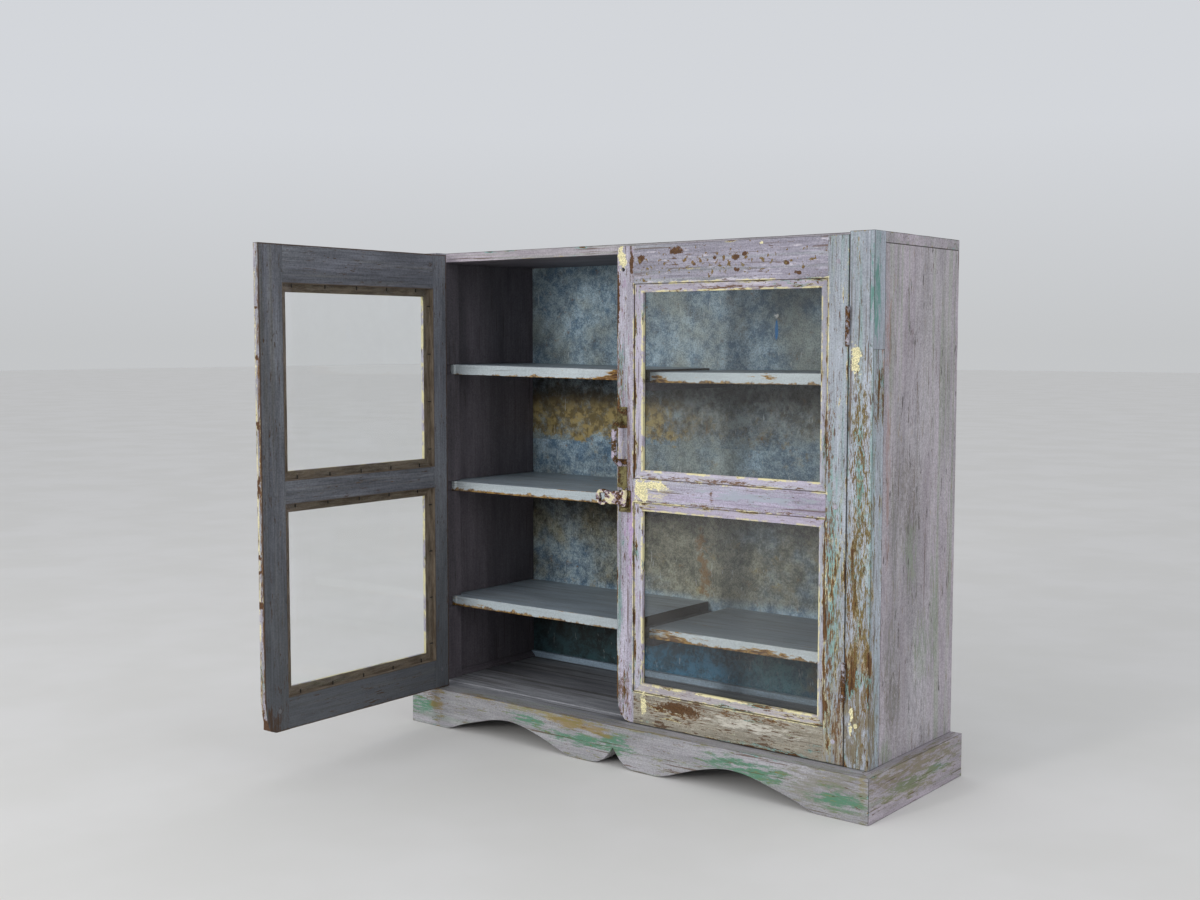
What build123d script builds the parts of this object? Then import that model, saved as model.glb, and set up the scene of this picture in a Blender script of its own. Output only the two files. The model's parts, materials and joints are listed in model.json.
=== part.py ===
"""Small two-door china cabinet with glass doors, on a scalloped plinth.

Frame: millimetres, +Z up, +X to the right of someone facing the doors, the doors
face -Y. The origin is on the floor, at the middle of the rear plinth rail's foot.
Every Y below is first written from the cabinet's back (Y = 0 at the back, front
negative); the whole object is moved by half the rear rail's thickness on export.
"""
import math
import os

from build123d import *

os.makedirs("parts", exist_ok=True)

# ---- driving dimensions -------------------------------------------------------
PLINTH_W, PLINTH_D, PLINTH_H = 900.0, 300.0, 67.0
PLINTH_T = 30.0            # front and side boards
REAR_RAIL_T = 24.0
FLOOR_UNDER = 54.0         # underside of the bottom board

X_LEFT, X_RIGHT = -449.0, 432.8    # carcass outer faces; the carcass sits off centre
HEIGHT = 822.0
Y_FRONT = -271.0           # carcass front: posts and door faces
Y_IN = -4.0                # rear edges of the boards, where the tin back is nailed
POST_W, POST_DEPTH, POST_SIDE = 38.6, 55.0, 32.0
SIDE_T = 25.0
TOP_T = 16.0
FLOOR_TOP = 70.0
LIP_TOP = 66.5             # lowered front lip of the bottom board under the doors
CENTRE_HALF, CENTRE_DEPTH = 12.0, 18.0   # the slim post behind the meeting stiles
SHELF_T = 17.0
SHELF_FRONT = -231.0
SHELF_END_L, SHELF_END_R = -21.0, 19.5   # inner ends of the left and right shelves
BEARER_HALF, BEARER_T = 28.0, 12.0       # the bearers that carry those ends
TIN = 1.0

DOOR_T = 22.0
DOOR_Z0, DOOR_Z1 = 68.0, 817.4
STILE = 33.0               # flat part of stiles; the moulding is outside it
MOULD = 13.0
TOP_RAIL, BOTTOM_RAIL = 59.4, 51.0
MID_Z0, MID_Z1 = 418.5, 456.5
DOOR_GAP = 1.2
MEET_X = -14.0             # front meeting edge of the right door
LAP = 12.8                 # half-lap of the meeting stiles
REBATE = 10.0              # glazing rebate, from the back
STEP, BEVEL = 1.5, 6.0     # sticking: small step, then a bevel to this depth
GLASS_T = 2.0
OPEN_ANGLE = 88.5          # how far the left door stands open

HINGE_LEN, KNUCKLE_R, PIN_R, BORE_R = 53.0, 3.3, 1.6, 1.65
HINGE_PROUD = 3.5
LEAF_T, LEAF_W = 1.5, 19.0
KNUCKLE_GAP = 0.25
PIN_HEAD_R, PIN_HEAD_T = 2.6, 1.6
HINGE_Z = (163.0, 664.0)   # lower ends of the two hinges on each door

TACK_R, TACK_L, TACK_END = 0.9, 6.0, 29.0   # glazing tacks, and how far in the end ones are
TACKS_WIDE, TACKS_HIGH = 5, 4

PEG_R = 3.5
PEG_IN_HINGE = 17.0        # peg middles, from the stile's outer edge
PEG_IN_LAPPED = 14.5
PEG_IN_REBATED = 11.5
PEG_Z = (100.0, 437.0, 781.0)

# ---- derived -------------------------------------------------------------------
PXL, PXR = X_LEFT + POST_W, X_RIGHT - POST_W      # inner faces of the posts
SXL, SXR = X_LEFT + SIDE_T, X_RIGHT - SIDE_T      # inner faces of the sides
Y_SIDE = Y_FRONT + POST_SIDE                      # where the side boards start
Y_POST = Y_FRONT + POST_DEPTH                     # back of the posts, inside
Y_DOORBACK = Y_FRONT + DOOR_T
Y_STOP = Y_DOORBACK + 0.3                         # what the shut doors meet
Y_SHIFT = REAR_RAIL_T / 2
TOP_UNDER = HEIGHT - TOP_T


def box(x0, x1, y0, y1, z0, z1):
    return Pos((x0 + x1) / 2, (y0 + y1) / 2, (z0 + z1) / 2) * Box(
        abs(x1 - x0), abs(y1 - y0), abs(z1 - z0))


def prism_xy(points, z0, z1):
    face = make_face(Polyline([(x, y, z0) for x, y in points], close=True))
    return extrude(face, amount=z1 - z0, dir=(0, 0, 1))


def prism_xz(points, y0, y1):
    face = make_face(Polyline([(x, y0, z) for x, z in points], close=True))
    return extrude(face, amount=y1 - y0, dir=(0, 1, 0))


def prism_yz(points, x0, x1):
    face = make_face(Polyline([(x0, y, z) for y, z in points], close=True))
    return extrude(face, amount=x1 - x0, dir=(1, 0, 0))


def rod(x, y, z0, z1, r):
    return Pos(x, y, (z0 + z1) / 2) * Cylinder(r, z1 - z0)


def rod_y(x, z, y0, y1, r):
    return Pos(x, (y0 + y1) / 2, z) * Rot(90, 0, 0) * Cylinder(r, y1 - y0)


def rod_x(y, z, x0, x1, r):
    return Pos((x0 + x1) / 2, y, z) * Rot(0, 90, 0) * Cylinder(r, x1 - x0)


def group(shapes):
    return Compound([solid for shape in shapes for solid in shape.solids()])


nodes = {}


def keep(name, shape):
    nodes[name] = shape


# ---- plinth --------------------------------------------------------------------
HW = PLINTH_W / 2
YPF = -PLINTH_D

# lower outline of the front board: foot, flat arch, lobe and a pointed cusp
right_arch = [(366.0, 0.0), (350.0, 5.0), (333.0, 11.5), (297.0, 22.0), (260.0, 31.5),
              (232.0, 35.5), (207.0, 35.0), (166.0, 26.0), (131.0, 14.8), (104.0, 5.0),
              (82.0, 0.0)]
lobe = [(50.0, 0.0), (38.0, 1.2), (25.0, 5.5), (14.0, 13.5), (6.0, 23.0), (0.0, 31.0)]


outline = [
    Line((-HW, 0), (-366.0, 0)),
    Spline(*[(-x, z) for x, z in right_arch]),
    Line((-82.0, 0), (-50.0, 0)),
    Spline(*[(-x, z) for x, z in lobe]),
    Spline(*reversed(lobe)),
    Line((50.0, 0), (82.0, 0)),
    Spline(*reversed(right_arch)),
    Line((366.0, 0), (HW, 0)),
    Line((HW, 0), (HW, PLINTH_H)),
    Line((HW, PLINTH_H), (-HW, PLINTH_H)),
    Line((-HW, PLINTH_H), (-HW, 0)),
]
front = extrude(Plane.XZ * make_face(outline), amount=PLINTH_T, dir=(0, -1, 0))
front = Pos(0, YPF + PLINTH_T, 0) * front
mitre_front = prism_xy([(-HW, YPF), (HW, YPF), (HW - PLINTH_T, YPF + PLINTH_T),
                        (-HW + PLINTH_T, YPF + PLINTH_T)], -1, PLINTH_H + 1)
keep("plinth_front", front & mitre_front)
for side, s in (("left", -1), ("right", 1)):
    keep("plinth_side_" + side,
         prism_xy([(s * HW, YPF), (s * HW, 0), (s * (HW - PLINTH_T), 0),
                   (s * (HW - PLINTH_T), YPF + PLINTH_T)], 0, PLINTH_H))
HIN = HW - PLINTH_T
keep("plinth_back", box(-HIN, HIN, -REAR_RAIL_T, 0, 0, FLOOR_UNDER))
BLOCK = 35.0
keep("plinth_blocks", group([
    box(s * HIN, s * (HIN - BLOCK), YPF + PLINTH_T, YPF + PLINTH_T + BLOCK, 0, FLOOR_UNDER)
    for s in (-1, 1)]))

# ---- carcass -------------------------------------------------------------------
floor = box(-HIN + 0.5, HIN - 0.5, YPF + PLINTH_T + 0.3, Y_IN, FLOOR_UNDER, FLOOR_TOP)
floor -= box(-HW, HW, YPF, Y_STOP, LIP_TOP, FLOOR_TOP + 1)
# the posts and sides stand on the plinth, so the board is notched round them
floor -= box(X_LEFT - 1, PXL + 0.2, YPF, Y_POST + 0.2, PLINTH_H - 0.2, FLOOR_TOP + 1)
floor -= box(PXR - 0.2, X_RIGHT + 1, YPF, Y_POST + 0.2, PLINTH_H - 0.2, FLOOR_TOP + 1)
floor -= box(X_LEFT - 1, SXL + 0.2, YPF, 1, PLINTH_H - 0.2, FLOOR_TOP + 1)
floor -= box(SXR - 0.2, X_RIGHT + 1, YPF, 1, PLINTH_H - 0.2, FLOOR_TOP + 1)
keep("bottom_panel", floor)

left_post = prism_xy([(X_LEFT, Y_FRONT), (PXL, Y_FRONT), (PXL, Y_POST), (SXL, Y_POST),
                      (SXL, Y_SIDE), (X_LEFT, Y_SIDE)], PLINTH_H, HEIGHT)
right_post = prism_xy([(X_RIGHT, Y_FRONT), (PXR, Y_FRONT), (PXR, Y_POST), (SXR, Y_POST),
                       (SXR, Y_SIDE), (X_RIGHT, Y_SIDE)], PLINTH_H, HEIGHT)
left_side = box(X_LEFT, SXL, Y_SIDE, Y_IN, PLINTH_H, TOP_UNDER)
right_side = box(SXR, X_RIGHT, Y_SIDE, Y_IN, PLINTH_H, TOP_UNDER)
Y_CENTRE = Y_STOP + CENTRE_DEPTH
keep("centre_post",
     box(-CENTRE_HALF, CENTRE_HALF, Y_STOP, Y_CENTRE, FLOOR_TOP, TOP_UNDER))

keep("top_panel", prism_xy(
    [(X_LEFT, Y_SIDE), (SXL, Y_SIDE), (SXL, Y_POST), (PXL, Y_POST), (PXL, Y_STOP),
     (PXR, Y_STOP), (PXR, Y_POST), (SXR, Y_POST), (SXR, Y_SIDE), (X_RIGHT, Y_SIDE),
     (X_RIGHT, Y_IN), (X_LEFT, Y_IN)], TOP_UNDER, HEIGHT))

# a let-in repair strip down the outer corner of the right post
SPLICE_W, SPLICE_Z = 6.8, 661.0
keep("post_splice", prism_xz(
    [(X_RIGHT - SPLICE_W, SPLICE_Z + 5), (X_RIGHT, SPLICE_Z - 3), (X_RIGHT, HEIGHT),
     (X_RIGHT - SPLICE_W, HEIGHT)], Y_FRONT, Y_SIDE))
right_post -= nodes["post_splice"]

# ---- shelves, housed in the posts and sides -------------------------------------
HOUSE_POST, HOUSE_SIDE = 7.6, 5.5
HOUSE_FRONT = Y_FRONT + 23           # the housings in the posts start here
FIT = 0.3


def shelf_left(z_left, z_right):
    x0, x1 = PXL - HOUSE_POST, SHELF_END_L
    tilt = math.degrees(math.atan2(z_left - z_right, x1 - x0))
    where = Pos(x0, 0, z_left) * Rot(0, tilt, 0) * Pos(-x0, 0, 0)
    outline = [(x0, SHELF_FRONT), (x1, SHELF_FRONT), (x1, Y_IN - FIT),
               (SXL - HOUSE_SIDE, Y_IN - FIT), (SXL - HOUSE_SIDE, Y_POST + FIT),
               (x0, Y_POST + FIT)]
    board = where * prism_xy(outline, -SHELF_T, 0)
    cut_post = where * box(x0 - FIT, PXL + 1, HOUSE_FRONT, Y_POST + 1, -SHELF_T - FIT, FIT)
    cut_side = where * box(SXL - HOUSE_SIDE - FIT, SXL + 1, Y_POST, Y_IN + 1,
                           -SHELF_T - FIT, FIT)
    return board, cut_post, cut_side


def shelf_right(z_left, z_right):
    x0, x1 = SHELF_END_R, PXR + HOUSE_POST
    tilt = math.degrees(math.atan2(z_left - z_right, x1 - x0))
    where = Pos(x0, 0, z_left) * Rot(0, tilt, 0) * Pos(-x0, 0, 0)
    outline = [(x0, SHELF_FRONT), (x1, SHELF_FRONT), (x1, Y_POST + FIT),
               (SXR + HOUSE_SIDE, Y_POST + FIT), (SXR + HOUSE_SIDE, Y_IN - FIT),
               (x0, Y_IN - FIT)]
    board = where * prism_xy(outline, -SHELF_T, 0)
    cut_post = where * box(PXR - 1, x1 + FIT, HOUSE_FRONT, Y_POST + 1, -SHELF_T - FIT, FIT)
    cut_side = where * box(SXR - 1, SXR + HOUSE_SIDE + FIT, Y_POST, Y_IN + 1,
                           -SHELF_T - FIT, FIT)
    return board, cut_post, cut_side


# heights of the top of the left and right shelf at each level, at their two ends; the
# top left one hangs a little askew
SHELVES = {
    "top": ((629.0, 624.0), (621.5, 624.0)),
    "middle": ((423.0, 424.0), (422.0, 422.0)),
    "bottom": ((217.5, 220.0), (213.5, 216.5)),
}
# A bearer runs from the centre post to the back under each pair of shelves. Its top is
# stepped, as the two shelves aren't level with each other.
bearers = []
for level, (left_z, right_z) in SHELVES.items():
    left_board, cut_post, cut_side = shelf_left(*left_z)
    left_post -= cut_post
    left_side -= cut_side
    right_board, cut_post, cut_side = shelf_right(*right_z)
    right_post -= cut_post
    right_side -= cut_side
    keep("shelf_" + level + "_left", left_board)
    keep("shelf_" + level + "_right", right_board)
    under_left, under_right = left_z[1] - SHELF_T, right_z[0] - SHELF_T
    bearer = box(-BEARER_HALF, BEARER_HALF, Y_CENTRE, Y_IN - FIT,
                 under_right - BEARER_T, under_left)
    bearer -= box(0, BEARER_HALF + 1, Y_CENTRE - 1, Y_IN + 1, under_right, under_left + 1)
    bearers.append(bearer - left_board - right_board)
keep("shelf_bearers", group(bearers))

# ---- back ----------------------------------------------------------------------
SEAM_Z = 487.0
keep("back_sheet_upper", box(X_LEFT + 2, X_RIGHT - 2, Y_IN, Y_IN + TIN, SEAM_Z, HEIGHT - 2))
keep("back_sheet_lower", box(X_LEFT + 2, X_RIGHT - 2, Y_IN + TIN, Y_IN + 2 * TIN,
                             PLINTH_H + 0.5, SEAM_Z + 16))
keep("back_batten", box(SXL + 0.3, SXR - 0.3, Y_IN - 8, Y_IN, FLOOR_TOP, FLOOR_TOP + 11.5))
NAIL_R, NAIL_T = 2.6, 1.2            # the heads
nails = []
for k in range(7):
    x = X_LEFT + 20 + k * (X_RIGHT - X_LEFT - 40) / 6
    nails.append(rod_y(x, HEIGHT - 9, Y_IN + TIN, Y_IN + TIN + NAIL_T, NAIL_R))
for k in range(6):
    z = PLINTH_H + 30 + k * 78
    for x in (X_LEFT + 12, X_RIGHT - 12):
        nails.append(rod_y(x, z, Y_IN + 2 * TIN, Y_IN + 2 * TIN + NAIL_T, NAIL_R))
for k in range(3):
    z = 560 + k * 90
    for x in (X_LEFT + 12, X_RIGHT - 12):
        nails.append(rod_y(x, z, Y_IN + TIN, Y_IN + TIN + NAIL_T, NAIL_R))
keep("back_nails", group(nails))

# thin cleats where the sides meet the bottom board
CLEAT = 10.0
keep("floor_cleat_left", prism_xz(
    [(SXL, FLOOR_TOP), (SXL + CLEAT, FLOOR_TOP), (SXL + CLEAT, FLOOR_TOP + 3),
     (SXL + 3, FLOOR_TOP + CLEAT), (SXL, FLOOR_TOP + CLEAT)], Y_POST + 1, Y_IN - 8.5))
keep("floor_cleat_right", prism_xz(
    [(SXR, FLOOR_TOP), (SXR - CLEAT, FLOOR_TOP), (SXR - CLEAT, FLOOR_TOP + 3),
     (SXR - 3, FLOOR_TOP + CLEAT), (SXR, FLOOR_TOP + CLEAT)], Y_POST + 1, Y_IN - 8.5))

# ---- doors -----------------------------------------------------------------------
# Each door is built shut. h is the hinge edge, m the front meeting edge, and the sign
# s points from the hinge edge towards the meeting edge.
FLAT_Z = ((DOOR_Z0 + BOTTOM_RAIL, MID_Z0), (MID_Z1, DOOR_Z1 - TOP_RAIL))
TENON_T, TENON_L = 8.0, 24.0
Y_TENON = Y_FRONT + 6.5


def wedge(a, b, c, d):
    return prism_xz([a, b, c, d], Y_FRONT - 1, Y_DOORBACK + 1)


def sticking(xa, xb, za, zb):
    """Four mitred mouldings round one opening: left, right, bottom, top."""
    yb = Y_FRONT + DOOR_T - REBATE
    front_edge, sight = Y_FRONT + STEP, Y_FRONT + BEVEL
    left = prism_xy([(xa, front_edge), (xa + MOULD, sight), (xa + MOULD, yb), (xa, yb)], za, zb)
    left &= wedge((xa - 1, za - 1), (xa + MOULD + 1, za + MOULD + 1),
                  (xa + MOULD + 1, zb - MOULD - 1), (xa - 1, zb + 1))
    right = prism_xy([(xb, front_edge), (xb - MOULD, sight), (xb - MOULD, yb), (xb, yb)], za, zb)
    right &= wedge((xb + 1, za - 1), (xb - MOULD - 1, za + MOULD + 1),
                   (xb - MOULD - 1, zb - MOULD - 1), (xb + 1, zb + 1))
    low = prism_yz([(front_edge, za), (sight, za + MOULD), (yb, za + MOULD), (yb, za)], xa, xb)
    low &= wedge((xa - 1, za - 1), (xa + MOULD + 1, za + MOULD + 1),
                 (xb - MOULD - 1, za + MOULD + 1), (xb + 1, za - 1))
    high = prism_yz([(front_edge, zb), (sight, zb - MOULD), (yb, zb - MOULD), (yb, zb)], xa, xb)
    high &= wedge((xa - 1, zb + 1), (xa + MOULD + 1, zb - MOULD - 1),
                  (xb - MOULD - 1, zb - MOULD - 1), (xb + 1, zb + 1))
    return left, right, low, high


def build_door(h, m, lap_at_back):
    s = 1 if m > h else -1
    hin, mint = h + s * STILE, m - s * STILE      # edges of the opening
    xa, xb = min(hin, mint), max(hin, mint)
    hinge_stile = box(h, hin, Y_FRONT, Y_DOORBACK, DOOR_Z0, DOOR_Z1)
    meeting = box(m, mint, Y_FRONT, Y_DOORBACK, DOOR_Z0, DOOR_Z1)
    y_half = Y_FRONT + DOOR_T / 2
    if lap_at_back:
        meeting += box(m - s * 1, m + s * (LAP + DOOR_GAP), y_half + 0.4, Y_DOORBACK,
                       DOOR_Z0, DOOR_Z1)
    else:
        half_lap = box(m + s * 1, m - s * (LAP + 1.5), y_half - 0.2, Y_DOORBACK + 1,
                       DOOR_Z0 - 1, DOOR_Z1 + 1)
        meeting -= half_lap
    rails = {
        "top": box(xa, xb, Y_FRONT, Y_DOORBACK, DOOR_Z1 - TOP_RAIL, DOOR_Z1),
        "mid": box(xa, xb, Y_FRONT, Y_DOORBACK, MID_Z0, MID_Z1),
        "bottom": box(xa, xb, Y_FRONT, Y_DOORBACK, DOOR_Z0, DOOR_Z0 + BOTTOM_RAIL),
    }
    low_parts = sticking(xa, xb, *FLAT_Z[0])
    high_parts = sticking(xa, xb, *FLAT_Z[1])
    for part in (low_parts, high_parts):
        left, right = part[0], part[1]
        if s > 0:
            hinge_stile += left
            meeting += right
        else:
            hinge_stile += right
            meeting += left
    rails["bottom"] += low_parts[2]
    rails["mid"] += low_parts[3]
    rails["mid"] += high_parts[2]
    rails["top"] += high_parts[3]
    # tenons, and the pegs through them
    spans = {"top": (DOOR_Z1 - TOP_RAIL + 4, DOOR_Z1 - 12), "mid": (MID_Z0 + 4, MID_Z1 - 4),
             "bottom": (DOOR_Z0 + 12, DOOR_Z0 + BOTTOM_RAIL - 4)}
    for key, (z0, z1) in spans.items():
        t_h = box(hin, hin - s * TENON_L, Y_TENON, Y_TENON + TENON_T, z0, z1)
        t_m = box(mint, mint + s * TENON_L, Y_TENON, Y_TENON + TENON_T, z0, z1)
        if not lap_at_back:
            t_m -= half_lap
        rails[key] += t_h
        rails[key] += t_m
        hinge_stile -= t_h
        meeting -= t_m
    # the meeting pegs of the door with the rebated edge stop at the rebate
    xh = h + s * PEG_IN_HINGE
    xm = m - s * (PEG_IN_LAPPED if lap_at_back else PEG_IN_REBATED)
    meet_depth = Y_DOORBACK if lap_at_back else y_half - 0.2
    peg_at = {}
    for key, z in zip(("bottom", "mid", "top"), PEG_Z):
        for tag, x, depth in (("h", xh, Y_DOORBACK), ("m", xm, meet_depth)):
            hole = rod_y(x, z, Y_FRONT - 1, depth, PEG_R)
            rails[key] -= hole
            if tag == "h":
                hinge_stile -= hole
            else:
                meeting -= hole
            peg_at[(key, tag)] = rod_y(x, z, Y_FRONT, depth, PEG_R)
    # glass, and the tacks that hold it
    yb = Y_FRONT + DOOR_T - REBATE
    panes, tacks = [], []
    for za, zb in FLAT_Z:
        panes.append(box(xa + 1, xb - 1, yb, yb + GLASS_T, za + 1, zb - 1))
        yt = yb + GLASS_T + TACK_R + 0.2
        for k in range(TACKS_WIDE):
            x = xa + TACK_END + k * (xb - xa - 2 * TACK_END) / (TACKS_WIDE - 1)
            tacks.append(rod(x, yt, za, za + TACK_L, TACK_R))
            tacks.append(rod(x + 5, yt, zb - TACK_L, zb, TACK_R))
        for k in range(TACKS_HIGH):
            z = za + TACK_END + k * (zb - za - 2 * TACK_END) / (TACKS_HIGH - 1)
            tacks.append(rod_x(yt, z, xa, xa + TACK_L, TACK_R))
            tacks.append(rod_x(yt, z + 7, xb - TACK_L, xb, TACK_R))
    return hinge_stile, meeting, rails, panes, tacks, peg_at


def hinge(h, post_face, s, z0):
    """Butt hinge: the door leaf, the post leaf and the pin. s points into the door."""
    xc = (h + post_face) / 2
    yc = Y_FRONT - HINGE_PROUD
    z1 = z0 + HINGE_LEN
    a, b = z0 + HINGE_LEN / 3, z0 + 2 * HINGE_LEN / 3
    bore = rod(xc, yc, z0 - 5, z1 + 5, BORE_R)
    door_leaf = box(h, h + s * LEAF_T, yc, Y_FRONT + LEAF_W, z0, z1)
    door_leaf -= box(h - s, h + s * 3, yc - 1, Y_FRONT - 0.1, z0 - 1, a + KNUCKLE_GAP)
    door_leaf -= box(h - s, h + s * 3, yc - 1, Y_FRONT - 0.1, b - KNUCKLE_GAP, z1 + 1)
    door_leaf += rod(xc, yc, a + KNUCKLE_GAP, b - KNUCKLE_GAP, KNUCKLE_R)
    door_leaf -= bore
    post_leaf = box(post_face, post_face - s * LEAF_T, yc, Y_FRONT + LEAF_W, z0, z1)
    post_leaf -= box(post_face + s, post_face - s * 3, yc - 1, Y_FRONT - 0.1, a, b)
    post_leaf += rod(xc, yc, z0, a, KNUCKLE_R)
    post_leaf += rod(xc, yc, b, z1, KNUCKLE_R)
    post_leaf -= bore
    pin = rod(xc, yc, z0 - PIN_HEAD_T, z1 + PIN_HEAD_T, PIN_R)
    pin += rod(xc, yc, z1, z1 + PIN_HEAD_T, PIN_HEAD_R)
    pin += rod(xc, yc, z0 - PIN_HEAD_T, z0, PIN_HEAD_R)
    return door_leaf, post_leaf, pin, (xc, yc)


def leaf_seats(h, post_face, s, z0):
    door_seat = box(h - s * 1, h + s * LEAF_T, Y_FRONT - 1, Y_FRONT + LEAF_W,
                    z0, z0 + HINGE_LEN)
    post_seat = box(post_face + s * 1, post_face - s * LEAF_T, Y_FRONT - 1,
                    Y_FRONT + LEAF_W, z0, z0 + HINGE_LEN)
    return door_seat, post_seat


# right door, shut
RH = PXR - DOOR_GAP
r_hs, r_ms, r_rails, r_panes, r_tacks, r_pegs = build_door(RH, MEET_X, False)
# left door: its meeting stile carries a lap behind the right door's
LH = PXL + DOOR_GAP
LEFT_M = MEET_X - DOOR_GAP
l_hs, l_ms, l_rails, l_panes, l_tacks, l_pegs = build_door(LH, LEFT_M, True)

hinge_parts = {}
for tag, z0 in zip(("lower", "upper"), HINGE_Z):
    for side, h, face_x, s in (("left", LH, PXL, 1), ("right", RH, PXR, -1)):
        door_leaf, post_leaf, pin, axis = hinge(h, face_x, s, z0)
        door_seat, post_seat = leaf_seats(h, face_x, s, z0)
        hinge_parts[(side, tag)] = (door_leaf, post_leaf, pin)
        if side == "left":
            LEFT_PIN = axis
            l_hs -= door_seat
            left_post -= post_seat
        else:
            RIGHT_PIN = axis
            r_hs -= door_seat
            right_post -= post_seat

# wear: the foot of the right door's meeting stile is chewed away
r_ms -= prism_xz([(-15, 60), (-15, 101), (-12.6, 99), (-11.2, 90), (-8.5, 86), (-7.0, 78),
                  (-1.5, 74.5), (1.5, 70.5), (7.0, 69.4), (9.0, 60)], Y_FRONT - 1, Y_DOORBACK + 1)
# and the left door's meeting stile is worn round at its foot
LAP_EDGE = LEFT_M + LAP + DOOR_GAP
l_ms -= prism_xz([(LAP_EDGE + 1, 60), (LAP_EDGE + 1, 122), (LAP_EDGE - 0.2, 118),
                  (LAP_EDGE - 2.5, 96), (LAP_EDGE - 6.0, 80), (LAP_EDGE - 11.0, 71.5),
                  (LAP_EDGE - 22.0, 67.5), (LAP_EDGE - 22.0, 60)], Y_FRONT - 1, Y_DOORBACK + 1)

# ---- ironwork on the right door -----------------------------------------------------
HX = -3.0                   # middle of the pull
PULL_OUT, PULL_R = 22.0, 4.6   # how far the bow stands off the stile, and its radius
PLATE_T, RIVET_R = 2.5, 3.0
TOP_FOOT, LOW_FOOT = 549.0, 472.0   # where the bow meets its plates
plate_top = box(HX - 9.5, HX + 9.5, Y_FRONT - PLATE_T, Y_FRONT, 534, 568)
plate_low = box(HX - 8.5, HX + 9.5, Y_FRONT - PLATE_T, Y_FRONT, 440, 486)
ya, yo = Y_FRONT - PLATE_T / 2, Y_FRONT - PULL_OUT
path = FilletPolyline((HX, ya, TOP_FOOT), (HX, yo, TOP_FOOT - 11), (HX, yo, LOW_FOOT + 16),
                      (HX, ya, LOW_FOOT), radius=9)
bow = sweep(Plane(path @ 0, z_dir=path % 0) * Circle(PULL_R), path)
pull = plate_top + plate_low + bow
for z in (561, 447):
    pull += Pos(HX, Y_FRONT - PLATE_T, z) * Sphere(RIVET_R)
pull -= box(HX - 30, HX + 30, Y_FRONT, Y_FRONT + 20, 430, 580)
keep("right_pull", pull)

# hasp: a plate with an upright pin, and a short slotted strap that swings on it
PX, PY = 6.0, Y_FRONT - 8.0
HASP_PIN_R, HASP_BORE_R, EYE_R = 2.0, 2.05, 5.0
STRAP_Z0, STRAP_Z1 = 411.0, 438.5
hasp_plate = box(-9, 14, Y_FRONT - PLATE_T, Y_FRONT, 402, 437)
hasp_plate += box(-1, 13, Y_FRONT - 13.0, Y_FRONT, 405.5, 410.5)
hasp_plate += rod(PX, PY, 408, 441.5, HASP_PIN_R)
hasp_plate += rod(PX, PY, 439.0, 442.0, 3.4)
keep("hasp_plate", hasp_plate)
EYE_X, EYE_Z = -36.0, 424.5
YS0, YS1 = PY - 4.2, PY + 4.2
strap = box(EYE_X, PX, PY - 3.2, PY + 3.2, 414.5, 434.5)
strap += rod(PX, PY, STRAP_Z0, STRAP_Z1, EYE_R)
strap += rod_y(EYE_X, EYE_Z, PY - 3.6, PY + 3.6, 13.0)
# lumps of old paint and rust
for dx, dz, r in ((-11, 4, 8.0), (-20, -3, 8.5), (-29, 5, 7.0), (-41, -4, 7.0)):
    strap += Pos(dx, PY, EYE_Z + dz) * Sphere(r)
strap &= box(-60, 20, YS0, YS1, STRAP_Z0, STRAP_Z1)
strap -= box(EYE_X - 5.5, EYE_X + 5.5, YS0 - 1, YS1 + 1, EYE_Z - 6.5, EYE_Z + 6.5)
strap -= rod(PX, PY, 400, 450, HASP_BORE_R)
keep("hasp_strap", strap)

# staple on the left door, which the strap's slot drops over
STAPLE_R, STAPLE_HALF, STAPLE_OUT, STAPLE_IN = 1.4, 4.0, 13.5, 6.0
leg = FilletPolyline((EYE_X, Y_FRONT + STAPLE_IN, EYE_Z - STAPLE_HALF),
                     (EYE_X, Y_FRONT - STAPLE_OUT, EYE_Z - STAPLE_HALF),
                     (EYE_X, Y_FRONT - STAPLE_OUT, EYE_Z + STAPLE_HALF),
                     (EYE_X, Y_FRONT + STAPLE_IN, EYE_Z + STAPLE_HALF), radius=3.6)
staple = sweep(Plane(leg @ 0, z_dir=leg % 0) * Circle(STAPLE_R), leg)
for z in (EYE_Z - STAPLE_HALF, EYE_Z + STAPLE_HALF):
    l_ms -= rod_y(EYE_X, z, Y_FRONT - 1, Y_FRONT + STAPLE_IN + 0.2, STAPLE_R)

# ---- gather the fixed pieces ----------------------------------------------------------
keep("front_post_left", left_post)
keep("front_post_right", right_post)
keep("side_panel_left", left_side)
keep("side_panel_right", right_side)

# ---- gather the doors; the left one stands open --------------------------------------
swing = (Pos(LEFT_PIN[0], LEFT_PIN[1], 0) * Rot(0, 0, -OPEN_ANGLE)
         * Pos(-LEFT_PIN[0], -LEFT_PIN[1], 0))


def door_nodes(side, hs, ms, rails, panes, tacks, pegs, move):
    out = {side + "_hinge_stile": hs, side + "_meeting_stile": ms,
           side + "_top_rail": rails["top"], side + "_mid_rail": rails["mid"],
           side + "_bottom_rail": rails["bottom"],
           side + "_glass_lower": panes[0], side + "_glass_upper": panes[1],
           side + "_tacks": group(tacks),
           side + "_pegs": group(pegs)}
    for name, shape in out.items():
        keep(name, move * shape if move is not None else shape)


left_pegs = list(l_pegs.values())
# one peg of the right door is lost, so its hole shows
right_pegs = [p for key, p in r_pegs.items() if key != ("top", "m")]
door_nodes("left", l_hs, l_ms, l_rails, l_panes, l_tacks, left_pegs, swing)
door_nodes("right", r_hs, r_ms, r_rails, r_panes, r_tacks, right_pegs, None)
keep("left_staple", swing * staple)
for (side, tag), (door_leaf, post_leaf, pin) in hinge_parts.items():
    keep(f"{side}_door_leaf_{tag}", swing * door_leaf if side == "left" else door_leaf)
    keep(f"{side}_post_leaf_{tag}", post_leaf)
    keep(f"{side}_hinge_pin_{tag}", pin)

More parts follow.
